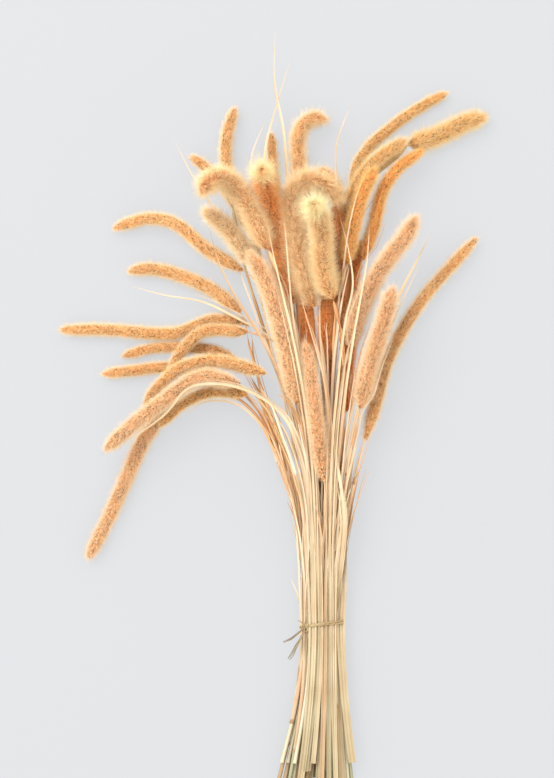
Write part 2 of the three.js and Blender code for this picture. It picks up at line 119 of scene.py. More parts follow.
# ----------------------------------------------------------------------------------------------------------
# The culms: hollow straws with a swollen joint every hand's breadth, cut off square. From each joint a papery
# sheath wraps the straw, opens, and runs out in a thin tongue where its blade has broken off. Wisps of torn
# blade hang on between the joints.
CULMS = 36
HEAD_STATION = 11
TIE_STATION = 3
CULM_SIDES = 10
CULM_RINGS = 70
JOINT_SHARES = (0.17, 0.39, 0.61, 0.80)
JOINT_SCATTER = 0.08
JOINT_SWELL = 0.24
JOINT_LENGTH = 1.5 * mm
PITH_SHARE = 0.55
PITH_DEPTH = 3.0 * mm
SHEATH_ROWS = 24
SHEATH_COLUMNS = 7
WISP_COLUMNS = 3
SHEATH_WRAP = np.radians(158)
SHEATH_THICK = 0.14 * mm
SHEATH_GAP = 0.12 * mm
OPENS_AT = 0.8
OPENS_OVER = 0.45
TONGUE_FOLD = 0.35
TONGUE_WAVE = 0.12
FLOOR_GAP = 0.15 * mm
CAP_SHARE = 0.02

# A sheath stops SHEATH_END_GAP short of the head, but is SHEATH_LEAST long at least. From the joint numbered
# SLIGHT_JOINT up, counted from 0, it is narrower. A wisp's tongue is no longer than the way from its start to
# WISP_END_GAP short of the head, or short of the head's tip on the stalks of HEAD_HIGH_WISPS.
SHEATH_END_GAP = 34 * mm
SHEATH_LEAST = 16 * mm
SLIGHT_JOINT = 3
SLIGHT_WIDTH = 0.6
WISPS = 7
WISP_WRAPPED = 12 * mm
WISP_END_GAP = 30 * mm
HEAD_HIGH_WISPS = range(20, 35)

# The lowest and highest measures of sheaths and wisps, in millimetres. WISP_START is a share of the way to
# the neck.
SHEATH_WRAPPED = (30, 76)
SHEATH_TONGUE = (18, 90)
SHEATH_LIFT = (0.6, 4.0)
SHEATH_WIDTH = (2.2, 4.2)
WISP_START = (0.2, 0.76)
WISP_LENGTH = (60, 190)
WISP_LIFT = (1.0, 8.0)
WISP_WIDTH = (1.1, 3.0)
WISP_DRIFT = (-15.0, 15.0)

# Where along the bunch the tint of the cut ends is full and gone, and the tint near the heads starts and is
# full. The tint near the heads is partly the straw's own warmer tone and partly painted light, the warm light
# that the heads throw back onto the straw.
FOOT_FULL = -0.33
FOOT_GONE = 0.02
HEADWARD_BOUNCE_NONE = -0.13
HEADWARD_BOUNCE_FULL = 0.0


def rings(node, end_points):
    """Middles and radii of a node's rings from its cut end to its tip. Its doubled points are merged, the
    first ring is the end_points of them lowest along the bunch, and each next ring is one edge further on."""
    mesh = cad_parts[node].data
    corners = np.empty(len(mesh.vertices) * 3)
    mesh.vertices.foreach_get("co", corners)
    order = np.empty(len(mesh.loops), int)
    mesh.loops.foreach_get("vertex_index", order)
    points, same = np.unique(corners.reshape(-1, 3).round(5), axis=0, return_inverse=True)
    faces = same.ravel()[order].reshape(-1, 3)
    level = np.full(len(points), -1)
    level[np.argsort(points[:, 1])[:end_points]] = 0
    while (level < 0).any():
        touched = faces[(level[faces] == level.max()).any(axis=1)].ravel()
        level[touched[level[touched] < 0]] = level.max() + 1
    count = np.bincount(level)[:, None]
    middles = np.stack([np.bincount(level, points[:, axis]) for axis in range(3)], axis=1) / count
    radii = np.zeros(len(middles))
    np.maximum.at(radii, level, np.linalg.norm(points - middles[level], axis=1))
    return middles, radii


def lengths_along(middles):
    """The distance along a line of points, from its first one."""
    return np.concatenate([[0.0], np.cumsum(np.linalg.norm(np.diff(middles, axis=0), axis=1))])


def smooth(values, knots, at):
    """Values at the distances at, on a curve through the given values at the distances knots. Each stretch is
    a cubic, whose slope at a knot is the mean of the slopes on both sides, the nearer one weighing more."""
    steps = np.diff(knots)
    slopes = np.diff(values, axis=0) / steps[:, None]
    weight = (steps[1:] / (steps[:-1] + steps[1:]))[:, None]
    inner = slopes[:-1] * weight + slopes[1:] * (1 - weight)
    slope = np.concatenate([slopes[:1], inner, slopes[-1:]])
    i = np.clip(np.searchsorted(knots, at, side="right") - 1, 0, len(steps) - 1)
    step = steps[i][:, None]
    t = (np.asarray(at)[:, None] - knots[i][:, None]) / step
    start = (1 + 2 * t) * (1 - t) ** 2 * values[i] + t * (1 - t) ** 2 * step * slope[i]
    end = t ** 2 * (3 - 2 * t) * values[i + 1] + t ** 2 * (t - 1) * step * slope[i + 1]
    return start + end


def unit(vectors):
    """The same vectors, each with length 1."""
    return vectors / np.linalg.norm(vectors, axis=-1, keepdims=True)


def directions(middles, at):
    """Three directions at each point of a line: along it, to its right and over it. The right one starts as
    +X and is carried on with no turn about the line."""
    along = unit(np.gradient(middles, at, axis=0))
    right = np.empty_like(along)
    carried = np.array([1.0, 0.0, 0.0])
    for ring, forward in enumerate(along):
        carried = unit(carried - forward * carried.dot(forward))
        right[ring] = carried
    return along, right, np.cross(right, along)


class Line:
    """A member's line from its cut end to its tip, with its radius, read at any distance along it."""

    def __init__(self, middles, radii, fine=240):
        self.stations = lengths_along(middles)
        self.at = np.linspace(0, self.stations[-1], fine)
        found = smooth(np.column_stack([middles, radii]), self.stations, self.at)
        self.middles = found[:, :3]
        self.radii = found[:, 3]
        self.axes = directions(self.middles, self.at)

    def read(self, values, at):
        """Values of the line at the distances at, straight between its fine points."""
        place = np.interp(at, self.at, np.arange(len(self.at)))
        i = np.minimum(place.astype(int), len(self.at) - 2)
        share = place - i
        share = share[..., None] if values.ndim > 1 else share
        return values[i] * (1 - share) + values[i + 1] * share

    def frame(self, at):
        """Middle, radius, and the directions along, right and over, at the distances at."""
        along, right, over = [unit(self.read(axis, at)) for axis in self.axes]
        return self.read(self.middles, at), self.read(self.radii, at), along, right, over


def weave(rows, columns, closed):
    """Triangles of a grid of points, two to a cell, and each corner's share across and along the grid. On a
    closed grid the last column joins the first."""
    cells = columns if closed else columns - 1
    i, j = np.meshgrid(np.arange(rows - 1), np.arange(cells), indexing="ij")
    across = np.stack([j, j, j + 1, j + 1], axis=-1).reshape(-1, 4)
    along = np.stack([i, i + 1, i + 1, i], axis=-1).reshape(-1, 4)
    halves = np.array([[0, 1, 2], [0, 2, 3]])
    faces = (along * columns + across % columns)[:, halves].reshape(-1, 3)
    shares = np.stack([across / cells, along / (rows - 1)], axis=-1)[:, halves].reshape(-1, 3, 2)
    return faces, shares


def inside_caps(shares):
    """Map places with the along share squeezed to leave CAP_SHARE free at both ends, for the end faces."""
    return shares * [1.0, 1 - 2 * CAP_SHARE] + [0.0, CAP_SHARE]


def tube(middles, right, over, radii, sides):
    """A closed tube. Round each middle lies a ring of points, from right towards over, and a fan of triangles
    closes each end. radii holds one number a ring."""
    turn = np.arange(sides) * 2 * np.pi / sides
    spoke = np.cos(turn)[:, None] * right[:, None] + np.sin(turn)[:, None] * over[:, None]
    rim = middles[:, None] + radii[:, None, None] * spoke
    points = np.concatenate([rim.reshape(-1, 3), middles[:1], middles[-1:]])
    walls, wall_shares = weave(len(middles), sides, closed=True)
    here = np.arange(sides)
    beyond = (here + 1) % sides
    last = (len(middles) - 1) * sides
    foot_cap = np.stack([np.full(sides, len(points) - 2), here, beyond], axis=1)
    top_cap = np.stack([np.full(sides, len(points) - 1), last + beyond, last + here], axis=1)
    foot_across = np.stack([here + 0.5, here, here + 1], axis=1) / sides
    top_across = np.stack([here + 0.5, here + 1, here], axis=1) / sides
    foot_along = np.broadcast_to([0.0, CAP_SHARE, CAP_SHARE], (sides, 3))
    foot_shares = np.stack([foot_across, foot_along], axis=-1)
    top_shares = np.stack([top_across, 1 - foot_along], axis=-1)
    faces = np.concatenate([walls, foot_cap, top_cap])
    return points, faces, np.concatenate([inside_caps(wall_shares), foot_shares, top_shares])


def shell(face, back):
    """A thin closed leaf between two grids of points, its face and its back. They are one flat tube, and a
    row of cells closes each end."""
    rows, columns = face.shape[:2]
    points = np.concatenate([face, back[:, ::-1]], axis=1).reshape(-1, 3)
    walls, wall_shares = weave(rows, 2 * columns, closed=True)
    j = np.arange(columns - 1)
    opposite = 2 * columns - 1 - j
    foot = np.stack([j, j + 1, opposite - 1, j, opposite - 1, opposite], axis=1).reshape(-1, 3)
    top = foot[:, ::-1] + (rows - 1) * 2 * columns
    ends = np.concatenate([foot, top])
    column = ends % (2 * columns)
    on_back = column >= columns
    end_across = np.where(on_back, 2 * columns - 1 - column, column) / (2 * columns)
    end_along = np.where(on_back, 0.0, CAP_SHARE)
    end_along[len(foot):] = 1 - end_along[len(foot):]
    end_shares = np.stack([end_across, end_along], axis=-1)
    return points, np.concatenate([walls, ends]), np.concatenate([inside_caps(wall_shares), end_shares])


def side_by_side(parts):
    """The same parts, each with its map squeezed into its own column of the whole piece's map."""
    count = len(parts)
    return [(points, faces, shares * [0.96 / count, 1.0] + [(column + 0.02) / count, 0.0], paint)
            for column, (points, faces, shares, paint) in enumerate(parts)]


def make_piece(name, parts, materials, node, crease=180):
    """One object from several (points, faces, shares, material number), joined as they are. Edges sharper
    than crease degrees stay sharp."""
    starts = np.cumsum([0] + [len(part[0]) for part in parts[:-1]])
    points = np.concatenate([part[0] for part in parts])
    points[:, 2] = np.maximum(points[:, 2], FLOOR_GAP)
    faces = np.concatenate([part[1] + start for part, start in zip(parts, starts)])
    shares = np.concatenate([part[2] for part in parts])
    paints = np.concatenate([np.broadcast_to(part[3], len(part[1])) for part in parts])
    mesh = bpy.data.meshes.new(name)
    mesh.vertices.add(len(points))
    mesh.vertices.foreach_set("co", points.ravel())
    mesh.loops.add(faces.size)
    mesh.loops.foreach_set("vertex_index", faces.ravel())
    mesh.polygons.add(len(faces))
    mesh.polygons.foreach_set("loop_start", np.arange(0, faces.size, 3))
    mesh.polygons.foreach_set("material_index", paints.astype(np.int32))
    mesh.uv_layers.new(name="OFBake").data.foreach_set("uv", shares.ravel())
    mesh.update(calc_edges=True)
    mesh.validate()
    mesh.shade_smooth()
    if crease < 180:
        mesh.set_sharp_from_angle(angle=np.radians(crease))
    for material in materials:
        mesh.materials.append(material)
    piece = bpy.data.objects.new(name, mesh)
    bpy.context.collection.objects.link(piece)
    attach(piece, "root")
    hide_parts(node)
    return piece


def combine(tree, operation, first, second, clamp=False):
    """A Math node's result. first and second are sockets or numbers."""
    node = tree.nodes.new("ShaderNodeMath")
    node.operation = operation
    node.use_clamp = clamp
    for socket, value in zip(node.inputs, (first, second)):
        if isinstance(value, (int, float)):
            socket.default_value = value
        else:
            tree.links.new(value, socket)
    return node.outputs["Value"]


def mix_colours(tree, factor, first, second, blend="MIX"):
    """A Mix node's colour. factor, first and second are sockets, or a number and colours."""
    node = tree.nodes.new("ShaderNodeMix")
    node.data_type = "RGBA"
    node.blend_type = blend
    for name, value in (("Factor_Float", factor), ("A_Color", first), ("B_Color", second)):
        socket = next(item for item in node.inputs if item.identifier == name)
        if isinstance(value, (int, float, tuple)):
            socket.default_value = value
        else:
            tree.links.new(value, socket)
    return next(item for item in node.outputs if item.identifier == "Result_Color")


STREAK_BREAKS = 7.0
STREAK_MOVE_UP = 30.0
STREAK_MOVE_SIDE = 40.0
STREAK_FULL = (0.30, 0.66)
STREAK_POLISH = 0.25
STREAK_ROUGHNESS = 0.68
BLOTCH_SCALE = 26.0
BLOTCH_SHARE = 0.9


def add_sockets(group, way, kinds):
    """Sockets of a node group, inputs or outputs as way says, from their names and kinds."""
    for name, kind in kinds:
        group.interface.new_socket(name, in_out=way, socket_type="NodeSocket" + kind)


def make_straw_group():
    """Dry straw and leaf: fine streaks along the piece, blotches, and a slow change from its cut end to its
    tip. The streaks are a noise stretched along the map, which also moves on with the place on the bunch.
    Near the heads the colour is warmed, partly the straw's own tone and partly painted light bounced from the
    heads."""
    group = bpy.data.node_groups.new("dry straw", "ShaderNodeTree")
    add_sockets(group, "INPUT", (("Foot", "Color"), ("Headward and Bounce", "Color"), ("Pale", "Color"),
                                 ("Deep", "Color"), ("Streaks", "Float")))
    add_sockets(group, "OUTPUT", (("Color", "Color"), ("Height", "Float"), ("Roughness", "Float")))
    nodes, links = group.nodes, group.links
    given = nodes.new("NodeGroupInput")
    made = nodes.new("NodeGroupOutput")
    map_node = nodes.new("ShaderNodeUVMap")
    map_node.uv_map = "OFBake"
    place = nodes.new("ShaderNodeTexCoord")
    split_map = nodes.new("ShaderNodeSeparateXYZ")
    split_place = nodes.new("ShaderNodeSeparateXYZ")
    links.new(map_node.outputs["UV"], split_map.inputs[0])
    links.new(place.outputs["Object"], split_place.inputs[0])
    across = combine(group, "MULTIPLY", split_map.outputs["X"], given.outputs["Streaks"])
    along = combine(group, "MULTIPLY", split_map.outputs["Y"], STREAK_BREAKS)
    height = combine(group, "MULTIPLY", split_place.outputs["Z"], STREAK_MOVE_UP)
    drift = combine(group, "MULTIPLY_ADD", split_place.outputs["X"], STREAK_MOVE_SIDE)
    links.new(height, drift.node.inputs[2])
    stretched = nodes.new("ShaderNodeCombineXYZ")
    for socket, value in zip(stretched.inputs, (across, along, drift)):
        links.new(value, socket)
    streaks = nodes.new("ShaderNodeTexNoise")
    streaks.inputs["Scale"].default_value = 1.0
    streaks.inputs["Detail"].default_value = 3.0
    streaks.inputs["Roughness"].default_value = 0.65
    links.new(stretched.outputs[0], streaks.inputs["Vector"])
    blotches = nodes.new("ShaderNodeTexNoise")
    blotches.inputs["Scale"].default_value = BLOTCH_SCALE
    blotches.inputs["Detail"].default_value = 2.0
    links.new(place.outputs["Object"], blotches.inputs["Vector"])
    wear = combine(group, "MULTIPLY_ADD", blotches.outputs["Fac"], BLOTCH_SHARE)
    wear.node.inputs[2].default_value = -BLOTCH_SHARE / 2
    tone = combine(group, "ADD", streaks.outputs["Fac"], wear)
    contrast = nodes.new("ShaderNodeMapRange")
    contrast.inputs["From Min"].default_value = STREAK_FULL[0]
    contrast.inputs["From Max"].default_value = STREAK_FULL[1]
    links.new(tone, contrast.inputs["Value"])
    body = mix_colours(group, contrast.outputs["Result"], given.outputs["Deep"], given.outputs["Pale"])
    low = nodes.new("ShaderNodeMapRange")
    low.interpolation_type = "SMOOTHSTEP"
    low.inputs["From Min"].default_value = FOOT_FULL
    low.inputs["From Max"].default_value = FOOT_GONE
    low.inputs["To Min"].default_value = 1.0
    low.inputs["To Max"].default_value = 0.0
    links.new(split_place.outputs["Y"], low.inputs["Value"])
    foot = mix_colours(group, low.outputs["Result"], (1.0, 1.0, 1.0, 1.0), given.outputs["Foot"])
    colour = mix_colours(group, 1.0, body, foot, "MULTIPLY")
    # Towards the heads: partly the straw's own warmer tone, partly painted warm light bounced from the heads.
    high = nodes.new("ShaderNodeMapRange")
    high.interpolation_type = "SMOOTHSTEP"
    high.inputs["From Min"].default_value = HEADWARD_BOUNCE_NONE
    high.inputs["From Max"].default_value = HEADWARD_BOUNCE_FULL
    links.new(split_place.outputs["Y"], high.inputs["Value"])
    headward_and_bounce = mix_colours(group, high.outputs["Result"], (1.0, 1.0, 1.0, 1.0), given.outputs["Headward and Bounce"])
    colour = mix_colours(group, 1.0, colour, headward_and_bounce, "MULTIPLY")
    links.new(colour, made.inputs["Color"])
    links.new(streaks.outputs["Fac"], made.inputs["Height"])
    rough = combine(group, "MULTIPLY_ADD", streaks.outputs["Fac"], -STREAK_POLISH)
    rough.node.inputs[2].default_value = STREAK_ROUGHNESS
    links.new(rough, made.inputs["Roughness"])
    return group


straw_group = make_straw_group()
FOOT_TINT = (206, 217, 214)
# The tint near the heads is partly the straw's own warmer tone and partly painted light bounced from the
# heads.
CULM_HEADWARD_TINT_AND_BOUNCE = (252, 228, 198)
PLAIN_TINT = (255, 255, 255)


def straw_material(name, pale, deep, streaks, headward_and_bounce=CULM_HEADWARD_TINT_AND_BOUNCE, foot=FOOT_TINT, relief=0.25):
    """A straw or leaf finish. pale and deep are the colours between its streaks and of them. Both are
    multiplied by foot at the cut end, and by headward_and_bounce near the heads, which is partly the straw's
    own warmer tone and partly painted warm light bounced from the heads."""
    material, tree, shader = new_material(name)
    straw = tree.nodes.new("ShaderNodeGroup")
    straw.node_tree = straw_group
    for socket, colour in (("Pale", pale), ("Deep", deep), ("Foot", foot), ("Headward and Bounce", headward_and_bounce)):
        straw.inputs[socket].default_value = shade(*colour)
    straw.inputs["Streaks"].default_value = streaks
    bump = tree.nodes.new("ShaderNodeBump")
    bump.inputs["Strength"].default_value = relief
    bump.inputs["Distance"].default_value = 0.3 * mm
    tree.links.new(straw.outputs["Height"], bump.inputs["Height"])
    tree.links.new(straw.outputs["Color"], shader.inputs["Base Color"])
    tree.links.new(straw.outputs["Roughness"], shader.inputs["Roughness"])
    tree.links.new(bump.outputs["Normal"], shader.inputs["Normal"])
    shader.inputs["Specular IOR Level"].default_value = 0.35
    return material


CULM_PARTS = 1 + len(JOINT_SHARES) + WISPS
CULM_STREAKS = 14.0 * CULM_PARTS
SHEATH_STREAKS = 22.0 * CULM_PARTS
CULM_FINISHES = [
    straw_material("peach straw", (224, 198, 166), (208, 172, 134), CULM_STREAKS, foot=(214, 214, 208)),
    straw_material("pale straw", (232, 212, 184), (214, 188, 154), CULM_STREAKS, foot=(214, 224, 220)),
    straw_material("tan straw", (212, 178, 140), (190, 150, 112), CULM_STREAKS, foot=(202, 206, 192)),
    straw_material("green straw", (206, 192, 156), (178, 160, 122), CULM_STREAKS, foot=(192, 204, 198)),
]
SHEATH_FINISHES = [
    straw_material("cream sheath", (232, 214, 186), (214, 190, 156), SHEATH_STREAKS, foot=(222, 226, 220)),
    straw_material("peach sheath", (224, 194, 160), (206, 168, 130), SHEATH_STREAKS, foot=(216, 212, 206)),
    straw_material("dry sheath", (208, 176, 136), (184, 146, 106), SHEATH_STREAKS),
]
WISP_FINISHES = [
    straw_material("cream wisp", (224, 202, 172), (208, 180, 146), SHEATH_STREAKS, headward_and_bounce=PLAIN_TINT),
    straw_material("peach wisp", (216, 182, 142), (202, 160, 118), SHEATH_STREAKS),
]
JOINT_FINISH = straw_material("straw joint", (194, 154, 112), (162, 120, 80), CULM_STREAKS)


def culm_tube(line, length, joints):
    """The straw, up to the neck. Its radius is the node's, times a bell-shaped swelling at each joint. Its
    cut end goes in to a pith hole. Returns the tube and which of its faces are a joint's."""
    near = np.array([-2.0, -1.0, -0.4, 0.0, 0.4, 1.0, 2.0]) * JOINT_LENGTH
    at = np.sort(np.concatenate([np.linspace(0, length, CULM_RINGS), (joints[:, None] + near).ravel()]))
    middles, radii, along, right, over = line.frame(at)
    apart = np.abs(at[:, None] - joints)
    swelling = np.exp(-((apart / JOINT_LENGTH) ** 2)).sum(axis=1)
    radii = radii * (1 + JOINT_SWELL * swelling)
    pith = np.array([1.0, 0.0, 0.0])[:, None] * PITH_DEPTH * along[0] + middles[0]
    middles = np.concatenate([pith, middles])
    radii = np.concatenate([radii[0] * np.array([PITH_SHARE, PITH_SHARE, 1.0]), radii])
    right = np.concatenate([right[[0, 0, 0]], right])
    over = np.concatenate([over[[0, 0, 0]], over])
    points, faces, shares = tube(middles, right, over, radii, CULM_SIDES)
    on_joint = np.concatenate([[0.0, 0.0, 0.0], swelling])[:-1] > 0.3
    painted = np.zeros(len(faces), int)
    painted[: 2 * CULM_SIDES * len(on_joint)] = np.repeat(on_joint, 2 * CULM_SIDES)
    return points, faces, shares, painted


def sheath(line, start, wrapped, tongue, turn, lift, width, drift=0.0, columns=SHEATH_COLUMNS):
    """A sheath that starts wrapped round the straw, where it spans SHEATH_WRAP on both sides of the angle
    turn. It opens from OPENS_AT of its wrapped length, over OPENS_OVER of it, into a tongue, nearly flat,
    that tapers as a square root does and waves a little. The tongue lifts off by lift and moves sideways by
    drift, both by the square of its share."""
    share = np.linspace(0, 1, SHEATH_ROWS)[:, None]
    at = start + share[:, 0] * (wrapped + tongue)
    middles, radii, _, right, over = line.frame(at)
    across = np.linspace(-1, 1, columns)
    split = wrapped / (wrapped + tongue)
    opened = np.clip((share - OPENS_AT * split) / (OPENS_OVER * split), 0, 1)
    opened = (opened * opened * (3 - 2 * opened))[..., None]
    angle = turn + across * SHEATH_WRAP
    spoke = np.cos(angle)[:, None] * right[:, None] + np.sin(angle)[:, None] * over[:, None]
    out = np.cos(turn) * right + np.sin(turn) * over
    tangent = np.cos(turn) * over - np.sin(turn) * right
    reach = (radii + SHEATH_GAP)[:, None, None] + 0.35 * mm * share[..., None]
    free = np.clip((share - split) / (1 - split), 0, 1)[..., None]
    half = width / 2 * np.sqrt(1.02 - free) * (1 + TONGUE_WAVE * np.sin(9 * share[..., None] + turn))
    flat = out[:, None] * (reach + lift * free ** 2 + half * TONGUE_FOLD * np.abs(across)[None, :, None])
    flat = flat + tangent[:, None] * (half * across[None, :, None] + drift * free ** 2)
    face = middles[:, None] + (spoke * reach) * (1 - opened) + flat * opened
    outward = unit(spoke * (1 - opened) + out[:, None] * opened)
    return shell(face, face - outward * SHEATH_THICK)


stalk_lines = []
for number in range(1, CULMS + 1):
    node = f"stalk_{number:02}"
    middles, radii = rings(node, 7)
    line = Line(middles[:-1], radii[:-1])
    stalk_lines.append(line)
    chance = np.random.default_rng(1000 + number)
    neck = line.stations[HEAD_STATION]
    joints = neck * (np.array(JOINT_SHARES) + chance.uniform(-1, 1, len(JOINT_SHARES)) * JOINT_SCATTER)
    parts = [culm_tube(line, neck, joints)]
    for level, joint in enumerate(joints):
        wrapped = chance.uniform(*SHEATH_WRAPPED) * mm
        tongue = chance.uniform(*SHEATH_TONGUE) * mm
        room = max(neck - joint - SHEATH_END_GAP, SHEATH_LEAST)
        fit = min(1.0, room / (wrapped + tongue))
        turn = chance.uniform(0, 2 * np.pi)
        lift = chance.uniform(*SHEATH_LIFT) * mm
        width = chance.uniform(*SHEATH_WIDTH) * mm * (1.0 if level < SLIGHT_JOINT else SLIGHT_WIDTH)
        parts.append((*sheath(line, joint, wrapped * fit, tongue * fit, turn, lift, width), 2))
    wisp_end = (line.stations[-1] if number in HEAD_HIGH_WISPS else neck) - WISP_END_GAP
    for start in neck * chance.uniform(*WISP_START, WISPS):
        tongue = min(chance.uniform(*WISP_LENGTH) * mm, wisp_end - start)
        turn = chance.normal(np.pi / 2, 0.9)
        lift = chance.uniform(*WISP_LIFT) * mm
        width = chance.uniform(*WISP_WIDTH) * mm
        drift = chance.uniform(*WISP_DRIFT) * mm
        parts.append((*sheath(line, start, WISP_WRAPPED, tongue, turn, lift, width, drift, WISP_COLUMNS), 3))
    finishes = [CULM_FINISHES[chance.integers(4)], JOINT_FINISH, SHEATH_FINISHES[chance.integers(3)],
                WISP_FINISHES[chance.integers(2)]]
    make_piece(f"culm_{number:02}", side_by_side(parts), finishes, node, crease=60)

# ----------------------------------------------------------------------------------------------------------
# The heads: a thin axis packed all round with seed grains, and from the foot of every grain a tuft of fine
# stiff bristles that lean towards the tip. They grew on the culms, so they share their nodes.
CORE_SHARE = 0.54
GRAIN_SHARE = 0.74
CORE_SIDES = 12
CORE_RINGS = 36
GRAIN_AREA = 3.6 * mm * mm
GRAIN_LONG = 2.2 * mm
GRAIN_WIDE = 1.55 * mm
GRAIN_LEAN = np.radians(42)
GRAIN_LEAN_SCATTER = 0.22
GRAIN_TURN_SCATTER = 0.12
USUAL_HEAD = 8.2 * mm
GOLDEN_TURN = np.pi * (3 - np.sqrt(5))

# Bristles lean out from the head's line by BRISTLE_LEAN degrees, which TUFT_SCATTER varies from tuft to tuft
# and BRISTLE_SCATTER within one. Their length is a share of the head's widest radius.
TUFT = 11
TUFT_SPREAD = 0.7 * mm
TUFT_SCATTER = 7
BRISTLE_LEAN = 58
BRISTLE_SCATTER = 19
BRISTLE_LENGTH = 0.92
BRISTLE_THICK = 0.23 * mm
STRAGGLING = 0.4
STRAGGLER_LONG = 1.4
STRAGGLER_THIN = 0.85

# The foot is one part in FOOT_PART of the head's length. The tip's lengths are in widest radii of the head,
# and its bristles lean out less by TIP_CLOSING, as a share.
FOOT_PART = 3
FOOT_BLUNT = 0.4
TIP_ROUND = 1.2
TIP_REACH = 1.3
TIP_CLOSING = 0.75

# A bleached tip: its reach, the shares of it from which grains are pale and then dark, the tones, and how its
# bristles open and lengthen.
BLEACHED_REACH = 2.0
GRAINS_PALE = 0.15
GRAINS_DARK = 0.9
PALE_TONE = 0.95
DARK_TONE = 0.12
BRISTLE_TONE = 0.97
BLEACHED_OPENING = 0.25
BLEACHED_LONGER = 0.95
BLEACHED_SHORTER_UP = 1.5

# A head's map has TONES columns, with bristles on its lower half, and the core and then grains on its upper.
TONES = 16
BRISTLE_MAP_START = 0.02
BRISTLE_MAP_LENGTH = 0.46
CORE_MAP = np.array([0.52, 0.52, 0.56])
GRAIN_MAP_START = 0.56
GRAIN_MAP_LENGTH = 0.40


def instances(shape, faces, places, axes, sizes):
    """Copies of one small closed shape. Each has its own place, its own three axes and three sizes."""
    points = places[:, None] + np.einsum("pa,na,nad->npd", shape, sizes, axes)
    copied = faces[None] + (np.arange(len(places)) * len(shape))[:, None, None]
    return points.reshape(-1, 3), copied.reshape(-1, 3)


# A bristle is a three-sided spike that runs from 0 to 1 along its first axis.
bristle = np.array([[0, 0.5, 0], [0, -0.25, 0.433], [0, -0.25, -0.433], [1, 0, 0]])
bristle_faces = np.array([[0, 2, 1], [0, 1, 3], [1, 2, 3], [2, 0, 3]])
bristle_across = np.array([0.0, -1.0, 1.0, 0.0])

# A grain is a stretched octahedron, blunter at its foot.
grain = np.array([[-0.5, 0, 0], [-0.1, 0.5, 0], [-0.1, 0, 0.5], [-0.1, -0.5, 0], [-0.1, 0, -0.5],
                  [0.5, 0, 0]])
side = np.arange(4)
next_side = (side + 1) % 4
foot_faces = np.stack([np.full(4, 0), 1 + next_side, 1 + side], axis=1)
tip_faces = np.stack([np.full(4, 5), 1 + side, 1 + next_side], axis=1)
grain_faces = np.concatenate([foot_faces, tip_faces])
grain_across = np.array([0.0, 1.0, 0.4, -1.0, -0.4, 0.0])


HEAD_COLOURS = ("Bristle Foot", "Bristle Tip", "Bristle Pale", "Grain Dark", "Grain", "Grain Pale")
DARKEST = 0.73
TONE_RANGE = 0.38
BLEACHED = 0.80
BLEACHED_STEEP = 6.0


def make_head_group():
    """The head's colours from its map. Up the lower half of the map, a bristle goes from its foot's colour to
    its tip's. Across the map, bristles and grains go from dark ones to pale, and bristles beyond BLEACHED are
    bleached."""
    group = bpy.data.node_groups.new("foxtail head", "ShaderNodeTree")
    add_sockets(group, "INPUT", [(name, "Color") for name in HEAD_COLOURS])
    add_sockets(group, "OUTPUT", [("Color", "Color")])
    nodes, links = group.nodes, group.links
    given = nodes.new("NodeGroupInput")
    made = nodes.new("NodeGroupOutput")
    map_node = nodes.new("ShaderNodeUVMap")
    map_node.uv_map = "OFBake"
    split = nodes.new("ShaderNodeSeparateXYZ")
    links.new(map_node.outputs["UV"], split.inputs[0])
    tone, part = split.outputs["X"], split.outputs["Y"]
    up_bristle = combine(group, "MULTIPLY", part, 2.0, clamp=True)
    hair = mix_colours(group, up_bristle, given.outputs["Bristle Foot"], given.outputs["Bristle Tip"])
    darker = combine(group, "MULTIPLY_ADD", tone, TONE_RANGE)
    darker.node.inputs[2].default_value = DARKEST
    value = nodes.new("ShaderNodeCombineColor")
    for socket in value.inputs:
        links.new(darker, socket)
    hair = mix_colours(group, 1.0, hair, value.outputs[0], "MULTIPLY")
    bleached = combine(group, "MULTIPLY_ADD", tone, BLEACHED_STEEP, clamp=True)
    bleached.node.inputs[2].default_value = -BLEACHED_STEEP * BLEACHED
    hair = mix_colours(group, bleached, hair, given.outputs["Bristle Pale"])
    low = combine(group, "MULTIPLY", tone, 2.5, clamp=True)
    high = combine(group, "MULTIPLY_ADD", tone, 2.0, clamp=True)
    high.node.inputs[2].default_value = -1.0
    grain_colour = mix_colours(group, low, given.outputs["Grain Dark"], given.outputs["Grain"])
    grain_colour = mix_colours(group, high, grain_colour, given.outputs["Grain Pale"])
    is_grain = combine(group, "GREATER_THAN", part, 0.5)
    colour = mix_colours(group, is_grain, hair, grain_colour)
    links.new(colour, made.inputs["Color"])
    return group


head_group = make_head_group()


def head_material(name, *colours):
    """A head's finish, from the colours of its bristles and grains in the order of HEAD_COLOURS."""
    material, tree, shader = new_material(name)
    head = tree.nodes.new("ShaderNodeGroup")
    head.node_tree = head_group
    for socket, colour in zip(HEAD_COLOURS, colours):
        head.inputs[socket].default_value = shade(*colour)
    tree.links.new(head.outputs["Color"], shader.inputs["Base Color"])
    shader.inputs["Roughness"].default_value = 0.55
    shader.inputs["Specular IOR Level"].default_value = 0.3
    return material


AMBER = head_material("amber head", (255, 190, 110), (255, 230, 176), (255, 242, 206),
                      (116, 82, 46), (218, 148, 78), (255, 218, 152))
# The deep head's darker, redder colours are painted shade: the shade and warm bounced light among the heads
# in the middle of the bunch.
SHADED_DEEP = head_material("shaded deep head", (250, 142, 60), (255, 188, 108), (254, 212, 150),
                     (106, 58, 28), (210, 112, 48), (248, 168, 92))
GOLD = head_material("gold head", (255, 182, 86), (255, 216, 140), (255, 230, 170),
                     (128, 82, 40), (238, 148, 66), (255, 204, 120))
PALE = head_material("pale head", (255, 200, 128), (255, 232, 184), (255, 238, 198),
                     (138, 94, 56), (238, 160, 90), (255, 220, 158))
PALE_TIPPED = head_material("pale head with a bleached tip", (255, 200, 128), (255, 232, 182),
                            (255, 240, 186), (138, 94, 56), (236, 162, 92), (255, 224, 160))
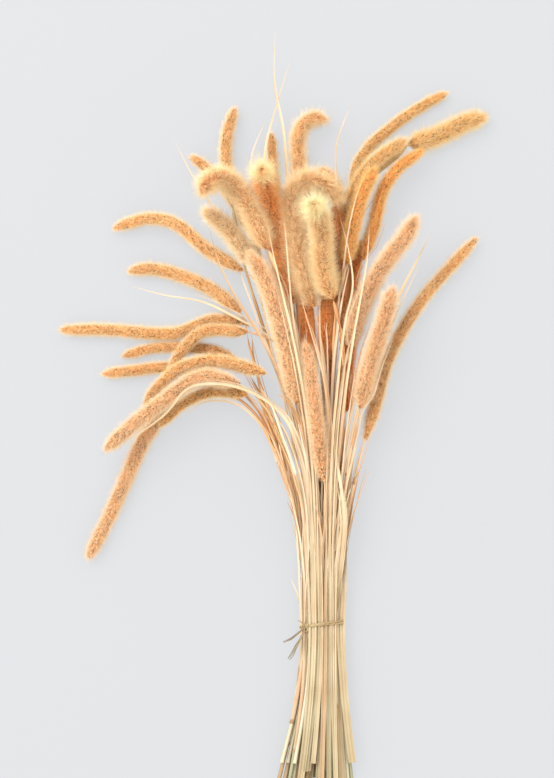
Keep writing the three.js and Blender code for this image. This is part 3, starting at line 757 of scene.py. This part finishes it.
# This head keeps the deep head's painted shade below its bleached tip.
SHADED_DEEP_TIPPED = head_material("shaded deep head with a bleached tip", (250, 146, 64), (255, 192, 112),
                            (255, 232, 174), (106, 58, 28), (210, 112, 48), (250, 180, 106))
ROSY = head_material("rosy head", (255, 194, 132), (255, 230, 188), (255, 240, 206),
                     (112, 84, 54), (222, 158, 96), (255, 218, 160))
OLIVE = head_material("olive head", (255, 192, 108), (255, 230, 170), (255, 242, 200),
                      (92, 74, 42), (212, 146, 74), (255, 210, 138))
GREENISH = head_material("greenish head", (255, 206, 142), (255, 236, 192), (255, 244, 214),
                         (112, 98, 62), (224, 174, 112), (255, 224, 166))
HEAD_FINISH = dict.fromkeys(range(1, CULMS + 1), AMBER)
# Heads 21 to 26, in the middle of the bunch, and head 15 take the deep colours of painted shade.
HEAD_FINISH.update(dict.fromkeys((21, 22, 23, 24, 25, 26), SHADED_DEEP))
HEAD_FINISH.update(dict.fromkeys((30, 31), GOLD))
HEAD_FINISH.update(dict.fromkeys((13, 17, 19), PALE))
HEAD_FINISH.update(dict.fromkeys((8, 10, 32, 33, 35, 36), ROSY))
HEAD_FINISH.update(dict.fromkeys((9, 27, 28, 29), OLIVE))
HEAD_FINISH.update({14: GREENISH, 15: SHADED_DEEP_TIPPED, 18: PALE_TIPPED})

# How much longer the bristles of some heads are, and the heads whose tips point up and are bleached.
HEAD_FLUFF = dict.fromkeys(range(11, 35), 1.15)
HEAD_FLUFF.update({13: 1.35, 14: 1.3, 15: 1.45, 17: 1.4, 18: 1.5, 19: 2.0, 29: 1.35})
BLEACHED_TIPS = (15, 18)


def tone_shares(tones, across, along):
    """Map places for copies: each in the narrow column of its tone, across it by across and up by along."""
    column = (np.floor(np.clip(tones, 0, 0.999) * TONES) + 0.5) / TONES
    u = column[:, None] + across * 0.3 / TONES
    v = np.broadcast_to(along, u.shape)
    return np.stack([u, v], axis=-1)


def head_parts(line, fluff, bleached_tip, chance):
    """The core, grains and bristles of one head, in that order. Grains stand on a golden spiral, evenly over
    the head's skin, and each foots a tuft of bristles that lean from it at random about one angle. fluff is a
    factor on their length. Some straggle out thin and pale beyond the rest, and towards the tip all close up
    along the head. At a bleached_tip they open instead, all pale, and are longer where they point sideways
    and shorter where they point up. Its grains are pale round a dark middle."""
    neck, tip = line.stations[HEAD_STATION], line.stations[-1]
    at = np.linspace(neck - 1.5 * mm, tip, 160)
    widest = line.read(line.radii, at).max()

    def radius_at(place):
        """The head's radius, which ends as a ball does over the last TIP_ROUND of its widest radius. At the
        foot its share of the widest is raised to a power below 1, which makes the foot blunter."""
        beyond = np.clip((place - tip) / (TIP_ROUND * widest) + 1, 0, 1)
        near_foot = np.clip(1 - (place - neck) / (tip - neck) * FOOT_PART, 0, 1)
        share = np.maximum(line.read(line.radii, place), 0) / widest
        return widest * share ** (1 - FOOT_BLUNT * near_foot) * np.sqrt(1.0001 - beyond ** 2)

    radii = radius_at(at)

    core_at = np.linspace(neck - 1.0 * mm, tip, CORE_RINGS)
    middles, _, _, right, over = line.frame(core_at)
    points, faces, _ = tube(middles, right, over, radius_at(core_at) * CORE_SHARE, CORE_SIDES)
    core_tones = chance.uniform(0.25, 0.7, len(faces))
    core_across = np.tile([-1.0, 0.0, 1.0], (len(faces), 1))
    parts = [(points, faces, tone_shares(core_tones, core_across, CORE_MAP), 0)]

    belts = np.hypot(np.diff(at), np.diff(radii)) * (radii[1:] + radii[:-1]) / 2
    skin = np.concatenate([[0.0], np.cumsum(belts)])
    area = 2 * np.pi * GRAIN_SHARE * skin[-1]
    count = int(area / GRAIN_AREA)
    even = (np.arange(count) + chance.uniform(0.1, 0.9, count)) / count
    grain_at = np.interp(even, skin / skin[-1], at)
    turn = np.arange(count) * GOLDEN_TURN + chance.normal(0, GRAIN_TURN_SCATTER, count)
    middles, _, along, right, over = line.frame(grain_at)
    grain_radii = radius_at(grain_at)
    spoke = np.cos(turn)[:, None] * right + np.sin(turn)[:, None] * over
    sideways = np.cross(along, spoke)
    lean = GRAIN_LEAN + chance.normal(0, GRAIN_LEAN_SCATTER, count)[:, None]
    first = unit(np.cos(lean) * along + np.sin(lean) * spoke + sideways * chance.normal(0, 0.2, (count, 1)))
    second = unit(np.cross(first, along + 0.01 * spoke))
    axes = np.stack([first, second, np.cross(first, second)], axis=1)
    grown = chance.uniform(0.8, 1.2, (count, 1)) * (widest / USUAL_HEAD) ** 0.35
    sizes = grown * np.array([GRAIN_LONG, GRAIN_WIDE, GRAIN_WIDE])
    places = middles + spoke * grain_radii[:, None] * GRAIN_SHARE
    patch = 0.5 + 0.5 * np.sin(even * 23 + chance.uniform(0, 6) + 1.3 * np.sin(turn + even * 7))
    tones = np.clip(0.25 * patch + chance.uniform(-0.25, 1.0, count), 0, 1)
    tip_length = (BLEACHED_REACH if bleached_tip else TIP_REACH) * widest
    tip_share = np.clip((grain_at - tip) / tip_length + 1, 0, 1)
    if bleached_tip:
        tip_tones = np.where(tip_share < GRAINS_DARK, PALE_TONE, DARK_TONE)
        tones = np.where(tip_share > GRAINS_PALE, tip_tones, tones)
    points, faces = instances(grain, grain_faces, places, axes, sizes)
    grain_along = GRAIN_MAP_START + GRAIN_MAP_LENGTH * (grain[:, 0] + 0.5)
    per_point = tone_shares(tones, grain_across, grain_along).reshape(-1, 2)
    parts.append((points, faces, per_point[faces], 0))

    owner = np.repeat(np.arange(count), TUFT)
    many = len(owner)
    slip = chance.normal(0, TUFT_SPREAD, (many, 2))
    feet = middles[owner] + spoke[owner] * (grain_radii[owner] * CORE_SHARE)[:, None]
    feet = feet + along[owner] * slip[:, :1] + sideways[owner] * slip[:, 1:]
    near_tip = tip_share[owner] ** 1.5
    tuft_lean = chance.normal(0, TUFT_SCATTER, count)[owner]
    lean = BRISTLE_LEAN * (1 + (BLEACHED_OPENING if bleached_tip else -TIP_CLOSING) * near_tip)
    angle = np.radians(lean + tuft_lean + chance.normal(0, BRISTLE_SCATTER, many))[:, None]
    swerve = (chance.normal(0, 0.14, count)[owner] + chance.normal(0, 0.24, many))[:, None]
    first = unit(np.cos(angle) * along[owner] + np.sin(angle) * spoke[owner] + swerve * sideways[owner])
    second = unit(np.cross(first, spoke[owner] + 0.3 * along[owner]))
    axes = np.stack([first, second, np.cross(first, second)], axis=1)
    straggling = chance.uniform(0, 1, many) < STRAGGLING
    length = widest * BRISTLE_LENGTH * fluff * chance.uniform(0.66, 1.1, many)
    length = length * np.where(straggling, STRAGGLER_LONG, 1.0)
    length = length * np.maximum(0.8 + 0.2 * grain_radii[owner] / widest, near_tip)
    thick = BRISTLE_THICK * chance.uniform(0.8, 1.2, many) * np.where(straggling, STRAGGLER_THIN, 1.0)
    tuft_tones = np.clip(chance.normal(0.52, 0.12, count)[owner] + chance.normal(0, 0.18, many), 0, 0.85)
    tuft_tones = np.where(straggling, chance.uniform(0.6, 1.0, many), tuft_tones)
    if bleached_tip:
        tuft_tones = np.where(near_tip > 0.05, BRISTLE_TONE, tuft_tones)
        upward = np.clip(first[:, 2], 0.1, 1.0)
        length = length * (1 + np.sqrt(near_tip) * (BLEACHED_LONGER - BLEACHED_SHORTER_UP * upward))
    points, faces = instances(bristle, bristle_faces, feet, axes, np.stack([length, thick, thick], axis=1))
    bristle_along = BRISTLE_MAP_START + BRISTLE_MAP_LENGTH * bristle[:, 0]
    per_point = tone_shares(tuft_tones, bristle_across, bristle_along).reshape(-1, 2)
    parts.append((points, faces, per_point[faces], 0))
    return parts


for number, line in enumerate(stalk_lines, start=1):
    chance = np.random.default_rng(2000 + number)
    parts = head_parts(line, HEAD_FLUFF.get(number, 1.0), number in BLEACHED_TIPS, chance)
    make_piece(f"head_{number:02}", parts, [HEAD_FINISH[number]], f"stalk_{number:02}")

# ----------------------------------------------------------------------------------------------------------
# The leaf blades: long dry grass leaves, folded along the midrib where the tie holds them, opening out above
# it and tapering to a twisted tip. They have split along their veins, and lie loose among the culms.
BLADES = 16
BLADE_RINGS = 90
STRIP_COLUMNS = 5
STRIP_EDGES = ((-1.0, -0.36), (-0.36, 0.3), (0.3, 1.0))
BLADE_NARROW = 0.86
BLADE_FOLD = 0.5
BLADE_WAVE = 0.12
NODE_HALF_THICK = 0.35 * mm
MIDDLE_WIDENS = 1.9
TWIST = (-50, 50)
SIDE_STRIP_END = (0.62, 0.96)
FRAY = (0.5, 4.5)
RIB_THICK = 0.5 * mm
EDGE_THICK = 0.16 * mm
BLADE_STREAKS = 6.0 * len(STRIP_EDGES)
BLADE_FINISHES = [
    straw_material("cream blade", (214, 192, 158), (196, 168, 130), BLADE_STREAKS, headward_and_bounce=PLAIN_TINT,
                   foot=(220, 226, 222)),
    straw_material("peach blade", (212, 180, 144), (196, 156, 118), BLADE_STREAKS, headward_and_bounce=PLAIN_TINT,
                   foot=(214, 216, 210)),
    straw_material("tan blade", (204, 170, 130), (184, 144, 102), BLADE_STREAKS, headward_and_bounce=PLAIN_TINT),
    straw_material("green-footed blade", (212, 188, 152), (192, 164, 126), BLADE_STREAKS, headward_and_bounce=PLAIN_TINT,
                   foot=(194, 204, 200)),
]

# The finishes of blades that aren't left to chance, and the width in the middle that each blade has at least.
BLADE_FINISH = {2: 0, 3: 3, 4: 0, 5: 3, 6: 0, 7: 0, 8: 3, 9: 0, 10: 0, 12: 3}
BLADE_LEAST = dict.fromkeys(range(1, BLADES + 1), 4.2 * mm)
BLADE_LEAST.update({2: 6.0 * mm, 3: 5.4 * mm, 4: 5.4 * mm, 5: 5.0 * mm, 6: 5.4 * mm, 7: 6.6 * mm})


def blade_strip(line, widths, turns, edges, end, fray, waves):
    """One strip of a blade, between two shares of its half width. Across, the blade is a shallow V with its
    midrib at the bottom, and its edges wave a little. It is thick at the midrib and thin at the edges. turns
    is its angle about its line. The strip ends at the share end of the blade, and moves off sideways by fray
    and up by half as much, growing as the square of its share. The middle strip widens towards the tip."""
    at = np.linspace(0, line.stations[-1] * end, BLADE_RINGS)
    share = (at / line.stations[-1])[:, None, None]
    middles, _, _, right, over = line.frame(at)
    half = line.read(widths, at)[:, None, None] / 2
    turn = line.read(turns, at)[:, None]
    out = np.cos(turn) * over + np.sin(turn) * right
    tangent = np.sin(turn) * over - np.cos(turn) * right
    taper = np.sqrt(1.002 - (share / end) ** 5)
    centre = sum(edges) / 2
    widened = 1 + (MIDDLE_WIDENS * share ** 2 if edges[0] < 0 < edges[1] else 0)
    across = centre + (np.linspace(*edges, STRIP_COLUMNS)[None, :, None] - centre) * taper * widened
    wave = BLADE_WAVE * np.sin(share * waves + 2.5 * across)
    lift = half * (BLADE_FOLD * (1.5 - share) * np.abs(across) + wave * across ** 2)
    moved = fray * (share / end) ** 2
    thick = EDGE_THICK + (RIB_THICK - EDGE_THICK) * np.exp(-((across / 0.22) ** 2))
    thick = thick * (1 - 0.6 * share)
    face = middles[:, None] + tangent[:, None] * (half * across + moved)
    face = face + out[:, None] * (lift + np.abs(moved) / 2)
    return shell(face, face - out[:, None] * thick)


for number in range(1, BLADES + 1):
    node = f"leaf_{number:02}"
    chance = np.random.default_rng(3000 + number)
    middles, radii = rings(node, 4)
    line = Line(middles, radii)
    half_width = np.sqrt(np.maximum(line.radii ** 2 - NODE_HALF_THICK ** 2, (0.2 * mm) ** 2))
    blade_width = 2 * half_width * BLADE_NARROW
    least = BLADE_LEAST[number] * np.sqrt(1.0 - (line.at / line.at[-1]) ** 6)
    blade_width = np.maximum(blade_width, least)
    twist = np.radians(chance.uniform(*TWIST)) * (line.at / line.at[-1]) ** 2
    waves = chance.uniform(40, 60)
    strips = []
    for edges in STRIP_EDGES:
        whole = edges[0] < 0 < edges[1]
        end = 1.0 if whole else chance.uniform(*SIDE_STRIP_END)
        fray = 0.0 if whole else np.sign(sum(edges)) * chance.uniform(*FRAY) * mm
        strips.append((*blade_strip(line, blade_width, twist, edges, end, fray, waves), 0))
    finish = BLADE_FINISHES[BLADE_FINISH.get(number, int(chance.integers(3)))]
    make_piece(f"blade_{number:02}", side_by_side(strips), [finish], node, crease=70)

# ----------------------------------------------------------------------------------------------------------
# The tie: one strand of raffia, wound twice round the bunch and knotted at its upper left, with frayed loose
# ends. The strand is three flat fibres twisted on each other.
STRAND_SPACING = 1.25 * mm
STRAND_REACH = 0.62 * mm
FIBRES = 3
FIBRE_RADIUS = 0.47 * mm
FIBRE_OFFSET = 0.40 * mm
FIBRE_PITCH = 15 * mm
MEMBER_RADIUS = 1.6 * mm
BAND_SLOPE = 0.12
BAND_TURNS = 2
BAND_RINGS = 300
BAND_SWELL = 0.12 * mm
BAND_WAVER = 0.25 * mm
KNOT_ANGLE = np.radians(150)
KNOT_SIZE = np.array([1.15, 1.35, 0.8]) * mm
KNOT_OUT = 2.2 * mm
KNOT_OFFSET = 0.36 * mm
KNOT_FIBRE = 0.5 * mm
KNOT_PITCH = 11 * mm
TAIL_LINES = np.array([
    [[0, 0, 0], [-4, -9, 3], [-9, -18, 3], [-14, -29, 1]],
    [[0, 0, 0], [-6, -5, 1], [-13, -11, 1], [-19, -15, 0]],
    [[0, 0, 0], [-2, 2, 1.5], [-4, 5, 2.4], [-6, 7, 3]],
]) * mm
TAIL_FIBRES = (7, 6, 4)
TAIL_OFFSET = 0.3 * mm
TAIL_FIBRE = 0.42 * mm
TAIL_PITCH = 20 * mm
TAIL_SPREAD = 1.7 * mm
RAFFIA_STREAKS = 5.0 * (2 * FIBRES + sum(TAIL_FIBRES))
RAFFIA = straw_material("raffia", (206, 178, 134), (156, 120, 80), RAFFIA_STREAKS, relief=0.5)
DARK_RAFFIA = straw_material("weathered raffia", (132, 104, 84), (84, 64, 52), RAFFIA_STREAKS)

all_lines = stalk_lines + [Line(*rings(f"leaf_{number:02}", 4)) for number in range(1, BLADES + 1)]
held = np.array([line.read(line.middles, line.stations[TIE_STATION]) for line in all_lines])
tie_middle = (held.min(axis=0) + held.max(axis=0)) / 2


def outline(angle):
    """The distance from the middle of the bunch to the taut line round its members, in each direction. A line
    square to a direction rests on the furthest member that way, and the nearest such line counts."""
    tilts = np.radians(np.linspace(-80, 80, 81))
    towards = angle[:, None] + tilts
    flat = (held - tie_middle)[:, [0, 2]]
    spokes = np.stack([np.cos(towards), np.sin(towards)], axis=-1)
    furthest = (spokes @ flat.T).max(axis=-1) + MEMBER_RADIUS
    return (furthest / np.cos(tilts)).min(axis=1)


def twisted(middles, fibres, offset, radius, pitch, chance, spread=0.0):
    """Fibres that wind about one line. Each is a tube whose middle circles the line once a pitch, and moves
    out from it by spread towards its end, where it also thins."""
    at = lengths_along(middles)
    along, right, over = directions(middles, at)
    share = (at / at[-1])[:, None]
    parts = []
    for fibre in range(fibres):
        turn = (2 * np.pi * (at / pitch + fibre / fibres))[:, None] + chance.uniform(-0.3, 0.3)
        away = offset + spread * share ** 1.6 * chance.uniform(0.4, 1.2)
        turn = turn * (1 - 0.7 * share * (spread > 0))
        centre = middles + away * (np.cos(turn) * right + np.sin(turn) * over)
        lobes = radius * (1 - 0.75 * share[:, 0] * (spread > 0)) * (1 + 0.15 * np.sin(at / pitch * 9 + fibre))
        across, upwards = directions(centre, at)[1:]
        parts.append(tube(centre, across, upwards, lobes, 6))
    return parts


chance = np.random.default_rng(4000)
wound = np.linspace(0, 1, BAND_RINGS)
band_angle = KNOT_ANGLE + wound * BAND_TURNS * 2 * np.pi
band_reach = outline(band_angle) + STRAND_REACH + BAND_SWELL * np.sin(wound * 31)
band_x = band_reach * np.cos(band_angle)
band_y = band_x * BAND_SLOPE + STRAND_SPACING * (2 * wound - 1) + BAND_WAVER * np.sin(wound * 17)
band = tie_middle + np.stack([band_x, band_y, band_reach * np.sin(band_angle)], axis=1)
tie_parts = [(*part, 0) for part in twisted(band, FIBRES, FIBRE_OFFSET, FIBRE_RADIUS, FIBRE_PITCH, chance)]

# The knot is a trefoil, flat against the bunch.
knot_out = np.array([np.cos(KNOT_ANGLE), 0, np.sin(KNOT_ANGLE)])
knot_across = np.array([-np.sin(KNOT_ANGLE), 0, np.cos(KNOT_ANGLE)])
knot_along = np.array([0.0, 1.0, 0.0])
knot_reach = outline(np.array([KNOT_ANGLE]))[0] + KNOT_OUT
knot_middle = tie_middle + knot_out * knot_reach + knot_along * knot_out[0] * knot_reach * BAND_SLOPE
t = np.linspace(0, 2 * np.pi, 150)
loops = np.stack([np.sin(t) + 2 * np.sin(2 * t), np.cos(t) - 2 * np.cos(2 * t), -np.sin(3 * t)], axis=1)
loops = loops * KNOT_SIZE
knot = knot_middle + loops @ np.stack([knot_across, knot_along, knot_out])
knot_fibres = twisted(knot, FIBRES, KNOT_OFFSET, KNOT_FIBRE, KNOT_PITCH, chance)
tie_parts += [(*part, 0) for part in knot_fibres]

for tail, (points, fibres) in enumerate(zip(TAIL_LINES, TAIL_FIBRES)):
    knots = lengths_along(points)
    tail_line = knot_middle + smooth(points, knots, np.linspace(0, knots[-1], 34))
    strands = twisted(tail_line, fibres, TAIL_OFFSET, TAIL_FIBRE, TAIL_PITCH, chance, spread=TAIL_SPREAD)
    tie_parts += [(*part, int(strand % 2 == 0 and tail < 2)) for strand, part in enumerate(strands)]
make_piece("raffia", side_by_side(tie_parts), [RAFFIA, DARK_RAFFIA], "raffia_tie")
